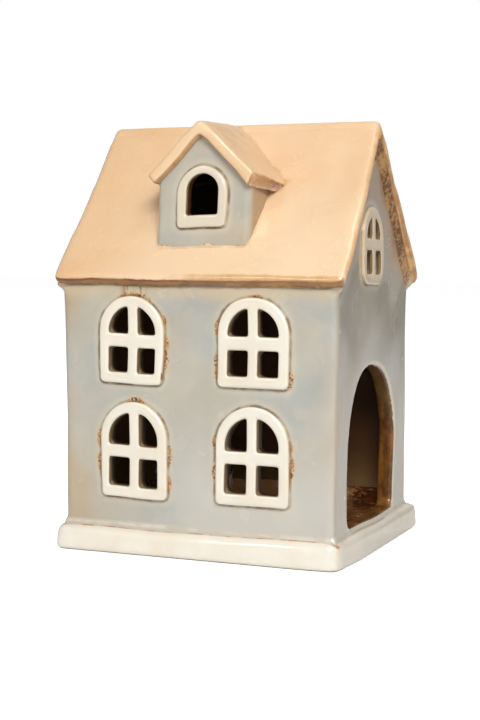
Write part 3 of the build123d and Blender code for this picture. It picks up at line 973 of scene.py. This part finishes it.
def measure_walls():
    """Keeps what the wall glaze follows on the walls."""
    points, normals = points_of(house_walls), normals_of(house_walls)
    x, y, z = points.T
    foot = z - PLINTH_TOP
    to_side, to_front = SIDE - np.abs(x), FRONT - np.abs(y)
    depth = np.minimum(to_side, to_front)
    facing = np.where(to_side < to_front, normals[:, 0] * np.sign(x), normals[:, 1] * np.sign(y))
    inside = ease(facing, -0.25, -0.7) * ease(depth, 2, 4)
    panes = panes_on(points)
    left_edges = np.zeros(len(points))
    for node in FRONT_FRAMES:
        low, high = box_of(node)
        left_edges += (np.abs(x - low[0]) < 2.5) * (z > low[2]) * (z < high[2]) * (y < 0)

    # Doorway
    spring = FLOOR_TOP + DOOR_HEIGHT - DOOR_RADIUS
    beside_door = np.hypot(y - DOOR_MIDDLE, np.maximum(z - spring, 0)) - DOOR_RADIUS
    from_door = np.maximum(beside_door, FLOOR_TOP - z)
    on_gable = x > SIDE - 2 * WALL_THICKNESS
    jamb = on_gable * ease(from_door, 2.5, 1.5) * ease(facing, 0.85, 0.45)

    # Crust under the verges, thick at the rear right and thin at the front right, where only its top shows
    roof_gap = below(UNDER_RIDGE, ROOF_PITCH, y, z)
    rear_crust = 0.55 + 0.45 * ease(z, 130, 152)
    front_crust = 0.15 + 0.85 * ease(z, 175, 185)
    strength = np.where(x > 0, np.where(y > 0, rear_crust, front_crust), 0.42)
    crust = ease(to_side, 1.2, 0.2) * ease(to_front, 1, 6) * ease(roof_gap, 6.0, 3.6) * strength

    # Broad tones, with painted light low on the right of the front and on the lower gable
    low_left = ease(x, -5, -66) * ease(z, 70, 15)
    high_left = ease(x, -42, -66) * ease(z, 104, 121)
    warm_left = (0.75 * low_left + 0.5 * high_left) * ease(-y, 15, 52)
    # painted light: the front paler low on the right, as from the floor's bounce
    low_right = ease(z, 62, 26) * ease(x, -25, 5) * ease(-normals[:, 1], 0.5, 0.9)
    gable = ease(np.abs(normals[:, 0]), 0.4, 0.8) * ease(depth, 3, 1)
    keep(
        house_walls,
        foot=foot,
        bare_foot=FAR,
        depth=depth,
        inside=inside,
        edge=proud(house_walls, 12),
        frame_gap=gap_to(house_walls, *front_frames, gable_frame) - 0.6 * left_edges,
        rust=rust_on(points),
        streak=streaks_on(points),
        pane_reveal=panes,
        door_gap=np.where(on_gable, from_door, FAR),
        door_reveal=jamb * ease(depth, -0.2, 0.5),
        roof_gap=roof_gap,
        crust=crust,
        warmth=warm_left + 0.4 * ease(np.abs(x), 50, 66),
        gable_top=gable * ease(z, 104, 170),
        # painted light on the lower gable, in place of a fill lamp
        gable_low=gable * ease(z, 170, 120) * (0.6 + 0.4 * ease(y, 0, 45)),
        pale=low_right * ease(depth, 2, 1),
        # pale glaze bead along the foot, with a painted glint
        bead=ease(-y, FRONT - 1, FRONT) * swell(foot, 0.5, 1.0, 1.5, 2.2),
        dull=np.max((inside, panes, crust, 0.6 * jamb), axis=0),
    )


def measure_dormer():
    """Keeps what the wall glaze follows on the dormer's walls."""
    points, normals = points_of(dormer_box), normals_of(dormer_box)
    x, behind = points[:, 0], points[:, 1] - DORMER_FACE
    facing = np.where(behind < 6, -normals[:, 1], normals[:, 0] * np.sign(x))
    # painted shade: the dormer's window and its inner faces dark
    in_window = ease(margin_in("window_frame_dormer", OUT_FRONT, points), 1.5, 2.5) * (behind < 8)
    inside = np.maximum(ease(facing, -0.1, -0.5) * ease(behind, 1.5, 3), in_window)
    lift = 0.3 * np.sin(x / 2.9 + 1.0) + 0.2 * np.sin(x / 1.7) - 0.3
    lift += 0.7 * ease(-x, 18.5, 22) * ease(behind, 7, 1)
    keep(
        dormer_box,
        foot=FAR,
        bare_foot=gap_to(dormer_box, house_roof) - lift,
        depth=np.minimum(behind, DORMER_SIDE - 1.5 - np.abs(x)),
        inside=inside,
        edge=proud(dormer_box, 24),
        frame_gap=gap_to(dormer_box, dormer_frame),
        door_gap=FAR,
        roof_gap=FAR,
        warmth=0.42 + 0.5 * ease(behind, 1, 7),
        gable_top=0.75 * ease(behind, 1, 6),
        dull=inside,
    )
    only_on_walls = ("rust", "streak", "crust", "door_reveal", "pane_reveal", "gable_low", "pale", "bead")
    keep(dormer_box, **dict.fromkeys(only_on_walls, 0))


def measure_main_roof():
    """Keeps what the roof glaze follows on the main roof: its eaves, its verges, its crusty underside, the
    painted light towards its eave and the painted shade inside.
    """
    points, normals = points_of(house_roof), normals_of(house_roof)
    x, y, z = points.T
    depth = below(RIDGE, ROOF_PITCH, y, z)
    facing, falling = slope_facing(normals[:, 1] * np.sign(y), normals[:, 2], ROOF_PITCH)
    under = ease(facing, -0.25, -0.75)
    along = np.abs(y) * cos(ROOF_PITCH) + (RIDGE - z) * sin(ROOF_PITCH)
    to_eave = along.max() - along
    eave = np.maximum(ease(to_eave, 2.4, 1.0), ease(falling, 0.2, 0.6)) * ease(under, 0.9, 0.5)

    # Toasted under the verges, on their brows, along the front eave and beside the dormer's right tip
    beside_wall = ease(np.abs(x) - SIDE, 2.8, 1.6) * (0.35 + 0.65 * ease(z, 132, 152))
    verge = ease(np.abs(normals[:, 0]), 0.25, 0.75)
    shoulder = ease(to_eave, 5.0, 2.6) * (y < 0) * ease(depth, 3, 1.5)
    cap_points = points_of(dormer_cap)
    from_tip = np.linalg.norm(points - cap_points[np.argmax(cap_points[:, 0])], axis=1)
    toasted = (
        under * (0.46 + 0.4 * beside_wall * np.where(x > 0, 1.0, 0.5)),
        verge * np.where(y > 0, 0.3, 0.2) * (1 + ease(depth, 1.5, 5)),
        0.4 * shoulder * ease(x, -30, 20),
        0.5 * ease(from_tip, 5, 1),
    )

    # Painted shade: dark inside the house, and on the roof's top inside the dormer
    covered = below(DORMER_UNDER_RIDGE, DORMER_PITCH, x, z) > 0.5
    in_dormer = (np.abs(x) < 18.5) * (y > DORMER_FACE + 2.5) * (y < 0) * covered
    inside = np.maximum(under * ease(SIDE - np.abs(x), 1, 5) * ease(FRONT - np.abs(y), 1, 5), in_dormer)

    # Dull where it rolls over the right verge, on the crest and along the left of the eave
    rolled = 0.7 * ease(normals[:, 0], 0.15, 0.5) * ease(to_eave, 4, 12)
    crest = 0.8 * ease(np.abs(y), 7, 2.5)
    matt_eave = 0.6 * eave * ease(x, 25, -15)
    keep(
        house_roof,
        toast=np.max(toasted, axis=0),
        depth=depth,
        eave=eave * ease(depth, 0.2, 1.1),
        eave_line=eave * (0.35 + 0.65 * ease(x, 45, -25)),
        # painted light: paler towards the eave and the right, on the roof's top
        pool=ease(to_eave, 62, 20) * ease(depth, 2, 0.5) * (0.25 + 0.75 * ease(x, -60, -15)),
        inside=inside,
        edge=proud(house_roof, 14),
        joint_gap=gap_to(house_roof, dormer_box, dormer_cap),
        dull=np.max((inside, 0.9 * under, rolled, crest, matt_eave), axis=0),
    )


def measure_dormer_roof():
    """Keeps what the roof glaze follows on the dormer's roof, which browns towards the back of its eaves and
    is painted darker high on its right slab, as shade.
    """
    x, y, z = points_of(dormer_cap).T
    normals = normals_of(dormer_cap)
    facing, falling = slope_facing(normals[:, 0] * np.sign(x), normals[:, 2], DORMER_PITCH)
    under, top = ease(facing, -0.25, -0.75), ease(facing, 0.9, 0.99)
    behind = y - DORMER_FACE
    toast = 0.5 * under + ease(falling, 0.25, 0.75) * (0.58 + 0.1 * ease(behind, -2, 22))
    # painted shade: the right slab darker high near its ridge, added to the browning
    shaded = 0.15 * ease(z, 170, 188) * ease(x, 0, 4) * ease(behind, -4, 4)
    within = DORMER_SIDE + DORMER_SPREAD * np.clip(behind, 0, DORMER_SPREAD_END) - np.abs(x)
    inside = under * ease(within, 1, 4) * ease(behind, 1, 4)
    crest = 0.8 * ease(np.abs(x + 1.5), 6, 2.5) * ease(behind, -3, 3)
    keep(
        dormer_cap,
        toast=np.maximum(toast, shaded),
        depth=0,
        eave=0,
        eave_line=0,
        pool=0,
        inside=inside,
        edge=proud(dormer_cap, 14),
        joint_gap=gap_to(dormer_cap, dormer_box),
        dull=np.max((inside, 0.8 * top, crest), axis=0),
    )


def measure_frame(piece, node, wall, outward, tone):
    """Keeps what the cream glaze follows on a frame: its joint with the wall, and the painted shade on its
    pane sides and over the whole frame.
    """
    in_panes = margin_in(node, outward, points_of(piece)) > PANE_MARGIN
    facing = normals_of(piece) @ outward
    keep(
        piece,
        joint_gap=gap_to(piece, wall),
        line_strength=0.5 - 0.3 * tone,
        ground=FAR,
        tone=tone,
        pane_side=ease(facing, 0.6, 0.15) * in_panes,
        dull=ease(facing, 0.8, 0.3) * in_panes,
    )


def measure_plinth():
    """Keeps what the cream glaze follows on the plinth, whose ends are painted darker towards the rear, as
    shade.
    """
    y, z = points_of(house_plinth).T[1:]
    on_ends = ease(np.abs(normals_of(house_plinth)[:, 0]), 0.5, 0.9)
    keep(
        house_plinth,
        joint_gap=gap_to(house_plinth, house_walls),
        line_strength=0.3 + 0.6 * ease(y, -53, -55),
        ground=z,
        tone=(0.2 + 0.2 * ease(y, -55, 45)) * on_ends,
        pane_side=0,
        dull=0,
    )


measure_walls()
measure_dormer()
measure_main_roof()
measure_dormer_roof()
for node, piece in zip(FRONT_FRAMES, front_frames):
    measure_frame(piece, node, house_walls, OUT_FRONT, 0.0)
measure_frame(gable_frame, "window_frame_gable", house_walls, OUT_RIGHT, 1.0)
measure_frame(dormer_frame, "window_frame_dormer", dormer_box, OUT_FRONT, 0.3)
measure_plinth()
keep(house_floor, dull=0.4)

dress([house_roof, dormer_cap], peach_glaze())
dress([house_walls, dormer_box], grey_blue_glaze())
dress(front_frames + [gable_frame, dormer_frame, house_plinth], cream_glaze())
dress([house_floor], brown_glaze())

# Candle
CUP_LOW, CUP_HIGH = box_of("tealight_cup")
CUP_MIDDLE = (CUP_LOW + CUP_HIGH) / 2
CUP_RADIUS = 19.0
CUP_HEIGHT = CUP_HIGH[2] - CUP_LOW[2]
FLUTE_STEPS = 168
WAX_STEPS = 96
WAX_LOW, WAX_HIGH = box_of("tealight_wax")
WICK_LOW, WICK_HIGH = box_of("tealight_wick")
WICK_RADIUS = (WICK_HIGH[0] - WICK_LOW[0]) / 2
WICK_TURNS = 6
STEPS_PER_TURN = 18


def closed_form(form):
    """Merges the doubles of a spun form and turns its faces outwards."""
    bmesh.ops.remove_doubles(form, verts=form.verts, dist=MERGE * MM)
    bmesh.ops.recalc_face_normals(form, faces=form.faces)


def spun(profile, steps, closed):
    """Round form from a profile of radius and height, spun about the candle's axis."""
    form = bmesh.new()
    dots = [form.verts.new((radius * MM, 0, height * MM)) for radius, height in profile]
    pairs = list(zip(dots, dots[1:])) + ([(dots[-1], dots[0])] if closed else [])
    lines = [form.edges.new(pair) for pair in pairs]
    bmesh.ops.spin(form, geom=dots + lines, cent=(0, 0, 0), axis=(0, 0, 1), angle=2 * pi, steps=steps,
                   use_merge=True)
    closed_form(form)
    return form


def candle_piece(name, form, foot, node):
    """Piece of the candle in place of its node, moved from its own axis to the candle's seat."""
    bmesh.ops.translate(form, verts=form.verts, vec=(CUP_MIDDLE[0] * MM, CUP_MIDDLE[1] * MM, foot * MM))
    piece = new_piece(name, form, "tealight")
    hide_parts(node)
    return piece


def candle_cup():
    """Pressed cup: fluted side, rolled rim and a stepped bottom."""
    outside = [(-5, 0.25), (-4.6, 0), (-1.3, 0), (-0.5, 0.25), (-0.1, 0.8), (0, 1.6), (0, 5), (0, 9)]
    rim = [(0, -2), (0, -0.8), (0.15, -0.5), (0.45, -0.45), (0.6, -0.22), (0.45, 0), (0, 0)]
    rim += [(-0.3, -0.25), (-0.35, -0.8), (-0.35, -2)]
    lining = [(-0.35, 9), (-0.35, 5), (-0.35, 1.6), (-0.45, 1.0), (-0.8, 0.55), (-1.3, 0.38), (-4.6, 0.38)]
    profile = [(0, 0.25)]
    profile += [(CUP_RADIUS + out, height) for out, height in outside]
    profile += [(CUP_RADIUS + out, CUP_HEIGHT + height) for out, height in rim]
    profile += [(CUP_RADIUS + out, height) for out, height in lining]
    profile += [(0, 0.4)]
    form = spun(profile, FLUTE_STEPS, False)
    side = [vert for vert in form.verts if 1.5 * MM < vert.co.z < (CUP_HEIGHT - 1.9) * MM]
    valleys = [vert for vert in side if round(atan2(vert.co.y, vert.co.x) / (2 * pi) * FLUTE_STEPS) % 3 == 0]
    bmesh.ops.scale(form, verts=valleys, vec=(0.985, 0.985, 1))
    return candle_piece("candle_cup", form, CUP_LOW[2], "tealight_cup")


def candle_fill():
    """Wax that has set lower round the wick and climbed at the cup's side, hollow over the wick tab."""
    radius = (WAX_HIGH[0] - WAX_LOW[0]) / 2 - 0.35
    top = WAX_HIGH[2] - CUP_LOW[2]
    dish = [(0.85, 0.7), (1.3, 0.5), (2.4, 0.4), (5, 0.34), (9, 0.3), (13, 0.32), (16, 0.34)]
    profile = [(away, top - dip) for away, dip in dish]
    profile += [(radius - 0.9, top - 0.25), (radius - 0.3, top - 0.08), (radius, top), (radius, top - 0.5)]
    profile += [(radius, 1.6), (radius - 0.6, 0.7), (radius - 1.2, 0.45)]
    profile += [(5.65, 0.45), (5.65, 0.8), (1.85, 0.8), (1.85, 3.5), (0.85, 3.5)]
    return candle_piece("candle_fill", spun(profile, WAX_STEPS, True), CUP_LOW[2], "tealight_wax")


def candle_wick():
    """Wick of three strands, twisted by spinning each one up the candle's axis."""
    form = bmesh.new()
    strand = WICK_RADIUS * 0.53
    steps = WICK_TURNS * STEPS_PER_TURN
    rise = (WICK_HIGH[2] - WICK_LOW[2] - 2 * strand) / steps
    aside = Matrix.Translation(((WICK_RADIUS - strand) * MM, 0, strand * MM))
    for third in range(3):
        start = Matrix.Rotation(third * 2 * pi / 3, 4, "Z") @ aside @ Matrix.Rotation(pi / 2, 4, "X")
        ring = bmesh.ops.create_circle(form, cap_ends=True, segments=10, radius=strand * 0.95 * MM,
                                       matrix=start)
        faces = list({face for vert in ring["verts"] for face in vert.link_faces})
        bmesh.ops.spin(form, geom=faces, cent=(0, 0, 0), axis=(0, 0, 1), dvec=(0, 0, rise * MM),
                       angle=WICK_TURNS * 2 * pi, steps=steps)
    closed_form(form)
    return candle_piece("candle_wick", form, WICK_LOW[2], "tealight_wick")


dress([candle_cup()], cup_aluminium())
dress([candle_fill()], candle_wax())
dress([candle_wick()], wick_cotton())
wick_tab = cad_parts["tealight_wick_tab"]
wick_tab.data.materials.clear()
wick_tab.data.materials.append(tab_steel())

# Studio, in metres, with the camera's lens and sensor in millimetres and its angles in degrees
FOCAL_LENGTH = 73.06
SENSOR_WIDTH = 36
CAMERA_PLACE = (0.2652, -0.6470, 0.1378)
CAMERA_DOWN = 4.229
CAMERA_LEFT = 22.389
CAMERA_ROLL = 0.25
LIGHTS_AIM = Vector((0, 0, 0.1))
FLOOR_REACH = 6


def studio_floor():
    """Plain pale floor under the house, brighter to the eye than to the house."""
    ground = bmesh.new()
    bmesh.ops.create_grid(ground, x_segments=1, y_segments=1, size=FLOOR_REACH)
    mesh = bpy.data.meshes.new("studio_floor")
    ground.to_mesh(mesh)
    ground.free()
    plane = bpy.data.objects.new("studio_floor", mesh)
    bpy.context.scene.collection.objects.link(plane)
    material, tree, shader = new_finish("studio_floor")
    seen = tree.nodes.new("ShaderNodeLightPath").outputs["Is Camera Ray"]
    plug(tree, shader, {
        "Base Color": (0.85, 0.85, 0.85, 1),
        "Roughness": 0.9,
        "Specular IOR Level": 0.0,
        "Emission Color": (1, 1, 1, 1),
        "Emission Strength": fade(tree, seen, 0, 1, 0.0, 0.9),
    })
    mesh.materials.append(material)


def soft_light(name, spot, width, height, power, mirrored=True):
    """Studio light of some width and height at a spot, turned to the house, which may not mirror it."""
    light = bpy.data.lights.new(name, "AREA")
    light.shape = "RECTANGLE"
    light.size = width
    light.size_y = height
    light.energy = power
    lamp = bpy.data.objects.new(name, light)
    lamp.location = spot
    lamp.rotation_euler = (Vector(spot) - LIGHTS_AIM).to_track_quat("Z", "Y").to_euler()
    lamp.visible_glossy = mirrored
    bpy.context.scene.collection.objects.link(lamp)


def white_world(strength, mirrored):
    """Even white surroundings, plain white behind the house and bright in its gloss."""
    world = bpy.data.worlds.new("white_surroundings")
    world.use_nodes = True
    bpy.context.scene.world = world
    tree = world.node_tree
    path = tree.nodes.new("ShaderNodeLightPath").outputs
    dim = fade(tree, path["Is Glossy Ray"], 0, 1, strength, mirrored)
    bright = calculate(tree, "MAXIMUM", path["Is Camera Ray"], dim)
    plug(tree, tree.nodes["Background"], {"Color": (1, 1, 1, 1), "Strength": bright})


def photo_camera():
    """Camera at the photograph's viewpoint."""
    lens = bpy.data.cameras.new("camera")
    lens.lens = FOCAL_LENGTH
    lens.sensor_width = SENSOR_WIDTH
    camera = bpy.data.objects.new("camera", lens)
    turn = Euler((radians(90 - CAMERA_DOWN), 0, radians(CAMERA_LEFT))).to_matrix().to_4x4()
    roll = Matrix.Rotation(radians(CAMERA_ROLL), 4, "Z")
    camera.matrix_world = Matrix.Translation(CAMERA_PLACE) @ turn @ roll
    bpy.context.scene.collection.objects.link(camera)
    bpy.context.scene.camera = camera


studio_floor()
soft_light("key", (0.62, -1.15, 1.02), 0.8, 0.6, 20.5)
soft_light("edge", (1.3, -0.35, 0.9), 0.3, 0.7, 1.0)
soft_light("front_strip", (-0.5, -1.25, 0.95), 0.26, 0.3, 2.2)
soft_light("top", (0.54, -0.33, 1.23), 0.3, 0.3, 1.5)
soft_light("back", (-0.6, 1.25, 1.0), 0.9, 0.7, 13, False)
white_world(0.1, 0.42)
photo_camera()
bpy.context.scene.view_settings.view_transform = "Standard"
